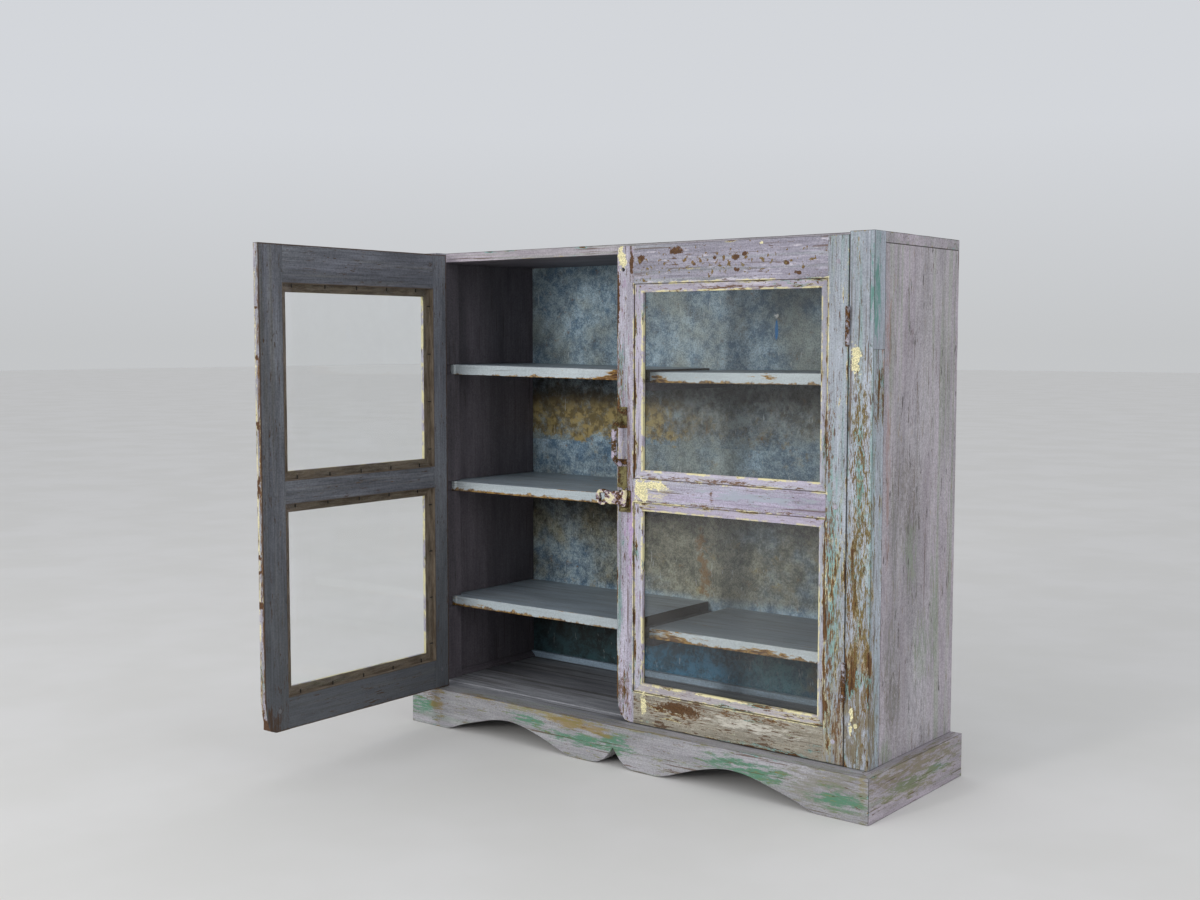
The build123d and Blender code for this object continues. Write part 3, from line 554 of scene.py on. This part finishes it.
def tin_sheet(node):
    """Weathered galvanised sheet, with ochre over the seam, painted shadow under each shelf and
    bare zinc on the outside.
    """
    b = Board(node, "z")
    cloud = b.noise(b.q, 50.0, detail=9, rough=0.78)
    broad = b.noise(b.q, 6.0, detail=5)
    deep_top = 215 * MM      # the strong colours lie below this
    grit = b.noise(b.q, 400.0, detail=4, rough=0.75)
    colour = b.mix(b.ramp(cloud, 0.38, 0.62), rgb(0x66829A), rgb(0xACC1CC))
    colour = b.mix(b.ramp(broad, 0.42, 0.62, 0.0, 0.6), colour, rgb(0xA3A696))
    warm = b.times(b.ramp(b.z, deep_top, deep_top + 20 * MM), b.ramp(b.z, 460 * MM, 400 * MM))
    drift = b.total(broad, b.ramp(b.x, -420 * MM, -150 * MM, 0.03, 0.14))
    warm = b.times(warm, b.ramp(drift, 0.42, 0.62, 0.2, 0.9))
    colour = b.mix(warm, colour, b.mix(b.ramp(cloud, 0.38, 0.62), rgb(0x5E5B49), rgb(0x98957F)))
    shade = b.times(b.ramp(b.noise(b.q, 9.0, detail=6), 0.38, 0.62, 0.78, 1.20),
                    b.ramp(grit, 0.38, 0.62, 0.78, 1.2))
    colour = b.shade(colour, shade)
    above = b.math("SUBTRACT", b.z, SEAM)
    uneven = b.times(b.wander(b.q, 22.0, detail=7, rough=0.75), 90 * MM)
    band = b.times(b.ramp(b.total(above, uneven), -2 * MM, 16 * MM),
                   b.ramp(above, 115 * MM, 75 * MM))
    band = b.times(band, b.ramp(b.total(b.x, uneven), -40 * MM, -120 * MM, 0.30, 1.0))
    field = b.total(b.noise(b.q, 32.0, detail=9, rough=0.8), b.times(band, 0.25))
    stain_and_shadow = b.mix(b.ramp(b.noise(b.q, 90.0, detail=6), 0.42, 0.58), rgb(0x7A6738), rgb(0xB9A264))
    # upwards towards the shelf above the ochre turns dark brown: partly stain, partly painted
    # shadow of that shelf
    stain_and_shadow = b.mix(b.ramp(above, 45 * MM, 95 * MM), stain_and_shadow, rgb(0x57482D))
    colour = b.mix(b.ramp(field, 0.52, 0.78, 0.0, 0.92), colour, stain_and_shadow)
    greyed = b.times(b.ramp(b.x, -150 * MM, -50 * MM, 0.0, 0.6),
                     b.times(b.ramp(above, -10 * MM, 40 * MM), b.ramp(above, 130 * MM, 90 * MM)))
    colour = b.mix(greyed, colour, b.mix(b.ramp(cloud, 0.38, 0.62), rgb(0x57544C), rgb(0x94958E)))
    rust = b.total(b.noise(b.q, 60.0, detail=7, rough=0.7),
                   b.times(b.cloud([((-30, 8, 263), (14, 0, 42)),
                                    ((-36, 8, 310), (11, 0, 40))]), 0.24))
    colour = b.mix(b.ramp(rust, 0.60, 0.74, 0.0, 0.8), colour, rgb(0x8A6636))
    bluer = b.ramp(b.x, -220 * MM, -170 * MM)
    deep = b.mix(bluer, rgb(0x2F5158), rgb(0x3D87AC))
    deep = b.mix(b.ramp(b.x, 0.0, 100 * MM), deep, rgb(0x45828C))
    browner = b.ramp(b.total(b.x, b.times(broad, 0.3)), 310 * MM, 370 * MM)
    deep = b.mix(browner, deep, rgb(0x66573A))
    dark = b.mix(bluer, rgb(0x223236), rgb(0x28586E))
    colour = b.mix(b.ramp(b.z, deep_top, deep_top - 35 * MM, 0.0, 0.95), colour,
                   b.mix(b.ramp(cloud, 0.40, 0.60), dark, deep))
    flecks = b.ramp(b.noise(b.g, 260.0, detail=3), 0.66, 0.71)
    colour = b.mix(b.times(flecks, 0.5), colour, rgb(0xDDE3E3))
    # painted shadow: a dark brown band under each shelf on the sheet, fading downwards
    painted_shelf_shadow = b.times(shadow_under_shelves(b), b.ramp(cloud, 0.30, 0.62, 1.0, 0.72))
    colour = b.mix(painted_shelf_shadow, colour, rgb(0x2A231B))
    zinc = b.mix(b.ramp(cloud, 0.36, 0.64), rgb(0x777A78), rgb(0x9DA19F))
    zinc = b.shade(zinc, shade)
    zinc = b.mix(b.ramp(rust, 0.60, 0.74, 0.0, 0.6), zinc, rgb(0x7A5B3B))
    middle = (b.lo.y + b.hi.y) / 2
    outside = b.ramp(b.y, middle - 0.1 * MM, middle + 0.1 * MM)
    colour = b.mix(b.chips([((111, 8, 711), (5, 0, 4))]), colour, rgb(0xF2F4F2))
    colour = b.mix(b.chips([((112, 8, 688), (3, 0, 18))], 1.5), colour, rgb(0x3E86C8))
    colour = b.mix(outside, colour, zinc)
    b.finish(colour, b.ramp(cloud, 0.35, 0.65, 0.65, 0.48), cloud, 0.8 * MM, metallic=0.1)
    return b.material


def iron(name, pale, middle, rust_from=0.5, painted=None):
    """Paint over an older coat over rusty iron; painted is a colour with its z from and to."""
    n = Net(name)
    p = n.place()
    flake = n.noise(p, 75.0, detail=9, rough=0.76)
    rust = n.mix(n.ramp(n.noise(p, 500.0, detail=4), 0.4, 0.62), rgb(0x3B291B), rgb(0x74502C))
    shade = n.ramp(n.noise(p, 700.0, detail=4), 0.38, 0.62, 0.72, 1.15)
    if painted:
        tone, low, high = painted
        z = n.split(p)[2]
        part = n.times(n.ramp(z, low, low + 4 * MM), n.ramp(z, high, high - 4 * MM))
        pale = n.mix(part, pale, tone)
    paint = n.mix(n.ramp(flake, rust_from - 0.04, rust_from - 0.02), pale, middle)
    paint = n.shade(paint, shade)
    bare = n.ramp(flake, rust_from, rust_from + 0.03)
    height = n.math("SUBTRACT", n.times(flake, 0.6), n.times(bare, 0.5))
    n.finish(n.mix(bare, paint, rust), n.ramp(bare, 0.0, 1.0, 0.5, 0.8), height, 1.2 * MM)
    return n.material


def old_glass():
    """Thin clear glass with a film of dust."""
    n = Net("old_glass")
    p = n.place()
    clear = n.add("BsdfTransparent", {"Color": (0.99, 0.995, 0.994, 1.0)})
    gloss = n.add("BsdfGlossy", {"Color": (1.0, 1.0, 1.0, 1.0), "Roughness": 0.03})
    facing = n.add("LayerWeight", {"Blend": 0.5}, out=1)
    shine = n.ramp(facing, 0.25, 1.0, 0.03, 0.5)
    dust = n.add("BsdfDiffuse", {"Color": rgb(0xC8CCCB)})
    film = n.ramp(n.noise(p, 7.0, detail=7, rough=0.7), 0.4, 0.75, 0.0, 0.02)
    specks = n.ramp(n.noise(p, 420.0, detail=1), 0.80, 0.84, 0.0, 0.5)
    surface = n.add("MixShader", {0: shine, 1: clear, 2: gloss})
    n.add_output(n.add("MixShader", {0: n.math("MAXIMUM", film, specks), 1: surface, 2: dust}))
    return n.material


# ---- worn arrises ------------------------------------------------------------------
LONG_EDGE = 60 * MM          # an edge longer than this is cut up, so that it can wander
PIECE_OF_EDGE = 16 * MM
ARRIS_ANGLE = math.radians(35)
WOBBLE = 0.25 * MM
noise.seed_set(7)            # unset, noise_vector takes its seed from the clock


def soften(node, width, least):
    """A copy of a wooden piece with its arrises rubbed round, which stands for the piece."""
    source = frame["nodes"][node]
    bm = bmesh.new()
    bm.from_mesh(source.data)
    bmesh.ops.remove_doubles(bm, verts=bm.verts, dist=0.01 * MM)
    bmesh.ops.dissolve_limit(bm, angle_limit=math.radians(1), verts=bm.verts, edges=bm.edges)
    long_edges = [e for e in bm.edges if e.calc_length() > LONG_EDGE]
    for edge in long_edges:
        bmesh.ops.subdivide_edges(bm, edges=[edge], cuts=int(edge.calc_length() / PIECE_OF_EDGE))
    arrises = [e for e in bm.edges if e.is_manifold and e.is_convex
               and e.calc_face_angle() > ARRIS_ANGLE and e.calc_length() > least]
    bmesh.ops.bevel(bm, geom=arrises, offset=width, offset_type="OFFSET", segments=2,
                    profile=0.6, affect="EDGES", clamp_overlap=True)
    lo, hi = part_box(node)
    for v in bm.verts:
        drift = noise.noise_vector(v.co * 28.0) + noise.noise_vector(v.co * 110.0)
        moved = v.co + drift * WOBBLE
        v.co = Vector([min(max(moved[i], lo[i]), hi[i]) for i in range(3)])
    mesh = bpy.data.meshes.new(node + "_worn")
    bm.to_mesh(mesh)
    bm.free()
    mesh.shade_smooth()
    piece = link(bpy.data.objects.new(node + "_worn", mesh))
    piece.modifiers.new("normals", "WEIGHTED_NORMAL").weight = 80
    stand_for(piece, node)
    return piece


def pitted(node, material, depth=0.9 * MM):
    """A copy of an ironwork piece with its surface eaten into, which stands for the piece."""
    source = frame["nodes"][node]
    piece = link(bpy.data.objects.new(node + "_worn", source.data.copy()))
    even = piece.modifiers.new("even", "REMESH")
    even.mode = "VOXEL"
    even.voxel_size = 0.8 * MM
    graph = bpy.context.evaluated_depsgraph_get()
    mesh = bpy.data.meshes.new_from_object(piece.evaluated_get(graph))
    piece.modifiers.clear()
    piece.data = mesh
    normals = [v.normal.copy() for v in mesh.vertices]
    for v, normal in zip(mesh.vertices, normals):
        lumps = noise.fractal(v.co * 170.0, 0.8, 2.0, 4)
        v.co -= normal * depth * min(max(0.5 + lumps * 0.7, 0.0), 1.0)
    mesh.shade_smooth()
    mesh.materials.clear()
    mesh.materials.append(material)
    stand_for(piece, node)


def stand_for(piece, node):
    """Puts a new piece on the body of the CAD node it replaces, and hides that node."""
    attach(piece, frame["nodes"][node]["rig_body"])
    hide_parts(node)


def dress(node, material, width=1.1 * MM, least=8 * MM):
    piece = soften(node, width, least)
    piece.data.materials.clear()
    piece.data.materials.append(material)


def plain(nodes, material):
    """Gives CAD pieces a material as they are."""
    for node in nodes:
        mesh = frame["nodes"][node].data
        mesh.materials.clear()
        mesh.materials.append(material)


# ---- the pieces --------------------------------------------------------------------
def dress_plinth():
    front_tints = [
        ("smear", rgb(0x9A8F63), 0.8, [((-419, APRON, 70), (30, 0, 14)),
                                       ((-150, APRON, 62), (110, 0, 7)),
                                      ((60, APRON, 70), (150, 0, 5)),
                                      ((440, APRON, 60), (8, 0, 50))]),
        ("scales", BROWN, 0.7, [((0, APRON, 79), (420, 0, 2)), ((-410, APRON, 60), (20, 0, 20))]),
        ("smear", rgb(0x8A877C), 0.8, [((380, APRON, 40), (90, 0, 44))]),
        ("smear", GREEN, 0.95, [((-419, APRON, 29), (34, 0, 22)), ((-178, APRON, 48), (40, 0, 13)),
                               ((-60, APRON, 32), (84, 0, 13)), ((239, APRON, 46), (84, 0, 13)),
                               ((401, APRON, 28), (50, 0, 16)), ((4, APRON, 38), (40, 0, 18)),
                               ((255, APRON, 40), (70, 0, 14))]),
        ("smear", rgb(0x917C48), 0.8, [((-388, APRON, 42), (16, 0, 30)),
                                      ((-97, APRON, 57), (40, 0, 12)),
                                      ((-39, APRON, 52), (40, 0, 10)),
                                      ((-300, APRON, 70), (40, 0, 8))])]
    dress("plinth_front", case_board("plinth_front", "x", WHITE_LILAC, 0.655,
                                     tints=front_tints), least=1 * MM)
    side_tints = [("smear", rgb(0x8A7F66), 0.85, [((PLINTH_SIDE, -150, 55), (0, 170, 40))]),
                  ("smear", GREEN, 0.8, [((PLINTH_SIDE, -160, 32), (0, 80, 12)),
                                         ((PLINTH_SIDE, -80, 34), (0, 50, 10))]),
                  ("smear", rgb(0x8F8A66), 0.6, [((PLINTH_SIDE, -150, 28), (0, 110, 20))])]
    dress("plinth_side_right", case_board("plinth_side_right", "y", SIDE_LILAC, 0.66,
                                          tints=side_tints))
    dress("plinth_side_left", case_board("plinth_side_left", "y", SIDE_LILAC, 0.66))
    for node in ("plinth_back", "plinth_blocks"):
        b = Board(node, "z" if "block" in node else "x")
        b.finish(grimy(b, b.wood(rgb(0x9A7B55), rgb(0x5C4430))), 0.85, b.noise(b.streak, 300.0))
        dress(node, b.material)


def dress_case():
    side_tints = [
        ("smear", rgb(0x74746E), 0.55, [((SIDE, -195, 661), (0, 5, 40)),
                                        ((SIDE, -200, 228), (0, 22, 44)),
                                        ((SIDE, -185, 150), (0, 24, 34)),
                                        ((SIDE, -71, 84), (0, 8, 18)),
                                        ((SIDE, -190, 400), (0, 9, 80))]),
        ("smear", rgb(0x8C9A84), 0.65, [((SIDE, -138, 362), (0, 24, 60)),
                                        ((SIDE, -205, 78), (0, 22, 30)),
                                        ((SIDE, -60, 260), (0, 16, 110)),
                                        ((SIDE, -100, 210), (0, 30, 60))]),
        ("smear", rgb(0xA8857A), 0.55, [((SIDE, -215, 690), (0, 8, 60)),
                                        ((SIDE, -212, 480), (0, 7, 140))]),
        ("scales", rgb(0x6A6459), 0.55, [((SIDE, -190, 150), (0, 40, 90)),
                                         ((SIDE, -150, 450), (0, 70, 90))]),
        ("scales", rgb(0xD2CCD4), 0.5, [((SIDE, -110, 160), (0, 60, 110)),
                                        ((SIDE, -100, 560), (0, 60, 120))])]
    dress("side_panel_right", case_board("side_panel_right", "z", SIDE_LILAC, 0.67,
                                         tints=side_tints, edge_wear=0.05, flecks=0.69,
                                         crack=0.62, contrast=0.30, streaks=0.3,
                                         dashes=0.655))
    dress("side_panel_left", case_board("side_panel_left", "z", SIDE_LILAC, 0.67,
                                        edge_wear=0.05, flecks=0.69, crack=0.62,
                                        contrast=0.30, streaks=0.3, dashes=0.655))
    post_tints = [
        ("smear", TEAL, 0.85, [((SIDE, -250, 730), (9, 12, 70)), ((430, FRONT, 740), (5, 0, 60)),
                               ((414, FRONT, 470), (9, 0, 60))]),
        ("smear", rgb(0xA57C5E), 0.7, [((SIDE, -229, 680), (0, 8, 70))]),
        ("smear", rgb(0x7F755F), 0.95, [((414, FRONT, 150), (28, 0, 150)),
                                        ((SIDE, -250, 130), (0, 16, 90))]),
        ("scales", BROWN, 1.0, [((412, FRONT, 510), (22, 0, 100)), ((416, FRONT, 400), (24, 0, 90)),
                                ((404, FRONT, 310), (14, 0, 120)),
                                ((418, FRONT, 220), (22, 0, 120)),
                                ((SIDE, -244, 590), (0, 12, 60))]),
        ("scales", OLIVE, 0.9, [((414, FRONT, 580), (18, 0, 90)),
                                ((418, FRONT, 350), (24, 0, 220))]),
        ("chips", CREAM, 1.0, [((406, FRONT, 646), (7, 0, 23)), ((406, FRONT, 144), (4, 0, 8)),
                               ((412, FRONT, 128), (3, 0, 4)), ((404, FRONT, 122), (3, 0, 7))])]
    post_marks = [(0.105, [((411, FRONT, 540), (14, 0, 80)), ((414, FRONT, 430), (18, 0, 60)),
                           ((SIDE, -240, 600), (0, 14, 40))]),
                  (0.10, [((404, FRONT, 325), (10, 0, 110)), ((420, FRONT, 330), (12, 0, 70)),
                          ((416, FRONT, 230), (16, 0, 60))]),
                  (0.14, [((404, FRONT, 201), (10, 0, 40)), ((431, FRONT, 215), (6, 0, 50))]),
                  (0.06, [((414, FRONT, 110), (24, 0, 70))])]
    dress("front_post_right", case_board("front_post_right", "z", POST_BLUE, 0.625,
                                         marks=post_marks, tints=post_tints, flecks=0.65,
                                         splits=[((420, -255, 80), (40, 30, 90))]))
    dress("post_splice", case_board("post_splice", "z", POST_BLUE, 0.65, tints=post_tints[:1]))
    dress("front_post_left", case_board("front_post_left", "z", LILAC, 0.64))
    dress("centre_post", case_board("centre_post", "z", LILAC, 0.64))
    dress("top_panel", case_board("top_panel", "x", SIDE_LILAC, 0.635, crack=0.585,
                                  dirt=0.95))
    floor = Board("bottom_panel", "x")
    colour = brushed(floor, *FLOOR_GREY, streaks=0.8, contrast=0.4)
    floor.finish(grimy(floor, colour, 0.3), 0.6, floor.noise(floor.streak, 300.0))
    dress("bottom_panel", floor.material)
    for node in ("floor_cleat_left", "floor_cleat_right", "shelf_bearers"):
        b = Board(node, "y")
        b.finish(grimy(b, interior(b)), 0.7, b.noise(b.streak, 300.0))
        dress(node, b.material, 0.5 * MM)
    batten = Board("back_batten", "x")
    batten.finish(grimy(batten, brushed(batten, rgb(0xB9CEDC), rgb(0x97ABBC)), 0.4), 0.6,
                  batten.noise(batten.streak, 300.0))
    dress("back_batten", batten.material)
    rubbed = {"shelf_top_left": [((-40, SHELF_FRONT, 613), (60, 6, 16))],
              "shelf_top_right": [((36, SHELF_FRONT, 609), (18, 6, 9))],
              "shelf_bottom_right": [((70, SHELF_FRONT, 206), (110, 5, 9)),
                                     ((260, SHELF_FRONT, 204), (120, 5, 6))]}
    for level in ("top", "middle", "bottom"):
        for side in ("left", "right"):
            node = f"shelf_{level}_{side}"
            dress(node, shelf_board(node, rubbed.get(node, ())))
    for node in ("back_sheet_upper", "back_sheet_lower"):
        plain([node], tin_sheet(node))


def dress_left_door():
    edge_marks = ((720, 4), (646, 6), (543, 9), (449, 24), (343, 6), (319, 4), (268, 7))
    tints = [("smear", rgb(0xD2CBD2), 0.9, [((-15, -253, 440), (6, 6, 420))]),
             ("smear", CREAM, 0.9, [((-4, -246, 330), (12, 3, 330))]),
             ("smear", RUST, 0.9, [((-4, -238, 440), (16, 4, 440))]),
             ("scales", CREAM, 1.0, [((-3, -247, 640), (6, 4, 220)),
                                     ((-15, -258, 300), (5, 3, 200))]),
             ("scales", BROWN, 1.0, [((-2, -239, 440), (6, 4, 420)),
                                     ((-8, -248, 130), (14, 9, 90))]),
             ("chips", TEAL, 0.9, [((-15, -257, 815), (8, 3, 6))]),
             ("chips", RUST, 1.0, [((-5, -244, z), (7, 5, half)) for z, half in edge_marks]
              + [((-8, -246, 72), (24, 16, 26))]),
             ("scales", RUST, 0.9, [((-4, -252, 440), (8, 6, 420))])]
    for node, grain in (("left_hinge_stile", "z"), ("left_meeting_stile", "z"),
                        ("left_top_rail", "x"), ("left_mid_rail", "x"),
                        ("left_bottom_rail", "x")):
        dress(node, door_board(node, grain, "left", tints=tints))


def dress_right_door():
    top_spots = [((97, FRONT, 806), (12, 0, 6)), ((33, FRONT, 797), (6, 0, 7)),
                 ((15, FRONT, 795), (3, 0, 16)), ((132, FRONT, 785), (3, 0, 3)),
                 ((168, FRONT, 793), (4, 0, 3)), ((206, FRONT, 793), (7, 0, 4)),
                 ((221, FRONT, 797), (4, 0, 3)), ((292, FRONT, 782), (5, 0, 3)),
                 ((312, FRONT, 768), (6, 0, 3)), ((208, FRONT, 775), (5, 0, 3))]
    dress("right_top_rail", door_board(
        "right_top_rail", "x", "right", (rgb(0xA8A3B2), rgb(0x928F9B), rgb(0x9CA0A5)), 0.645,
        tints=[("chips", RUST, 1.0, top_spots),
               ("spots", OLIVE, 0.95, [((190, FRONT, 784), (130, 0, 16)),
                                       ((50, FRONT, 780), (50, 0, 20))]),
               ("spots", rgb(0x745A33), 0.9, [((150, FRONT, 790), (120, 0, 10))]),
               ("smear", rgb(0xD9D3DC), 0.9, [((185, FRONT, 757), (130, 0, 5))]),
               ("scales", BROWN, 0.9, [((185, FRONT, 749), (150, 0, 5))]),
               ("chips", CREAM, 1.0, [((250, FRONT, 812), (4, 0, 3))])],
        flecks=0.66))
    dress("right_mid_rail", door_board(
        "right_mid_rail", "x", "right", (rgb(0xBFB5CC), rgb(0xABA9B6), rgb(0xB1B6BC)), 0.655,
        tints=[("chips", CREAM, 1.0, [((33, FRONT, 438), (13, 0, 20)),
                                      ((58, FRONT, 447), (22, 0, 6))]),
               ("smear", CREAM, 0.8, [((60, FRONT, 440), (26, 0, 14))]),
               ("smear", rgb(0xA9B0BC), 0.9, [((240, FRONT, 440), (110, 0, 10))]),
               ("scales", BROWN, 0.9, [((150, FRONT, 459), (150, 0, 4)),
                                       ((200, FRONT, 421), (150, 0, 3)),
                                       ((165, FRONT, 440), (3, 0, 14))])]))
    dress("right_bottom_rail", door_board(
        "right_bottom_rail", "x", "right", (rgb(0xB2AC9E), rgb(0x979081), rgb(0x837B6A)), 0.585,
        marks=[(0.10, [((95, FRONT, 98), (60, 0, 14))]),
               (-0.06, [((230, FRONT, 94), (70, 0, 12))])],
        tints=[("smear", rgb(0xD3CEC2), 0.9, [((235, FRONT, 98), (90, 0, 12))]),
               ("scales", BROWN, 1.0, [((95, FRONT, 100), (70, 0, 16)),
                                       ((250, FRONT, 112), (90, 0, 7))]),
               ("chips", rgb(0x5E432A), 1.0, [((105, FRONT, 104), (38, 0, 8))]),
               ("chips", CREAM, 1.0, [((38, FRONT, 100), (5, 0, 14))])], flecks=0.64))
    dress("right_meeting_stile", door_board(
        "right_meeting_stile", "z", "right", (rgb(0xC6BFD0), rgb(0xADA9B4), rgb(0xAEBBBC)),
        hold=0.61, flecks=0.64, tints=[
            ("smear", TEAL, 0.6, [((-6, FRONT, 640), (7, 0, 50)), ((-8, FRONT, 250), (6, 0, 60))]),
            ("smear", rgb(0x7A5A45), 0.8, [((8, FRONT, 540), (3, 0, 110))]),
            ("chips", CREAM, 1.0, [((-5, FRONT, 800), (8, 0, 18))]),
            ("chips", RUST, 1.0, [((14, FRONT, 793), (3, 0, 14)), ((-12, FRONT, 740), (3, 0, 40)),
                                  ((-10, FRONT, 68), (9, 0, 16))]),
            ("scales", BROWN, 0.9, [((2, FRONT, 120), (20, 0, 50)), ((-8, FRONT, 620), (8, 0, 90)),
                                    ((8, FRONT, 470), (10, 0, 40))]),
            ("smear", rgb(0xC4A4CF), 0.7, [((12, FRONT, 370), (8, 0, 60))])],
        marks=[(0.10, [((0, FRONT, 105), (18, 0, 60))]),
               (0.06, [((-10, FRONT, 640), (6, 0, 160))])]))
    dress("right_hinge_stile", door_board(
        "right_hinge_stile", "z", "right", (rgb(0xA9AFB8), rgb(0x949AA3), rgb(0x90A8A6)),
        hold=0.62, flecks=0.64,
        splits=[((376, FRONT, 90), (40, 0, 80))],
        tints=[("smear", rgb(0x80AAA4), 0.85, [((372, FRONT, 330), (12, 0, 190))]),
               ("smear", WEATHERED, 0.9, [((376, FRONT, 110), (24, 0, 90))]),
               ("scales", OLIVE, 0.8, [((376, FRONT, 250), (24, 0, 190))]),
               ("scales", BROWN, 0.95, [((364, FRONT, 540), (9, 0, 80)),
                                        ((368, FRONT, 390), (14, 0, 80)),
                                        ((366, FRONT, 240), (14, 0, 110)),
                                        ((384, FRONT, 130), (14, 0, 80))])],
        marks=[(0.11, [((361, FRONT, 556), (7, 0, 60)), ((361, FRONT, 400), (8, 0, 70)),
                       ((361, FRONT, 250), (7, 0, 100))]),
               (0.06, [((376, FRONT, 130), (22, 0, 70)), ((380, FRONT, 300), (14, 0, 150))])]))


def dress_hardware():
    pull_low, pull_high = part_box("right_pull")[0].z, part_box("right_pull")[1].z
    plate = 33 * MM
    olive = iron("olive_iron", rgb(0x7B7249), rgb(0x54492D), 0.52,
                 (rgb(0xBDB2C4), pull_low + plate, pull_high - plate))
    flaky = iron("flaking_iron", rgb(0xE6DCB4), rgb(0xB6A3B8), 0.50)
    hinge = iron("hinge_iron", rgb(0xB4AEB6), rgb(0x8D8A90), 0.46)
    black = iron("tack_iron", rgb(0x24221F), rgb(0x15130F), 0.75)
    pitted("right_pull", olive)
    pitted("hasp_plate", olive, 0.5 * MM)
    pitted("hasp_strap", flaky, 1.3 * MM)
    plain(["left_staple"], flaky)
    hinges = [node for node in frame["nodes"] if "leaf" in node or "hinge_pin" in node]
    plain(hinges, hinge)
    plain(["left_tacks", "right_tacks", "back_nails"], black)
    for node, tones in (("left_pegs", SLATE), ("right_pegs", LILAC)):
        b = Board(node, "z")
        rubbed = b.ramp(b.noise(b.q, 260.0), 0.5, 0.58)
        colour = b.mix(b.mix(rubbed, rgb(0x5A4A3A), rgb(0x2E2419)), brushed(b, *tones), b.wood())
        b.finish(colour, 0.75, b.noise(b.q, 500.0))
        plain([node], b.material)
    glass = old_glass()
    plain([f"{side}_glass_{level}" for side in ("left", "right") for level in ("lower", "upper")],
          glass)


make_camera()
make_stage()
dress_plinth()
dress_case()
dress_left_door()
dress_right_door()
dress_hardware()
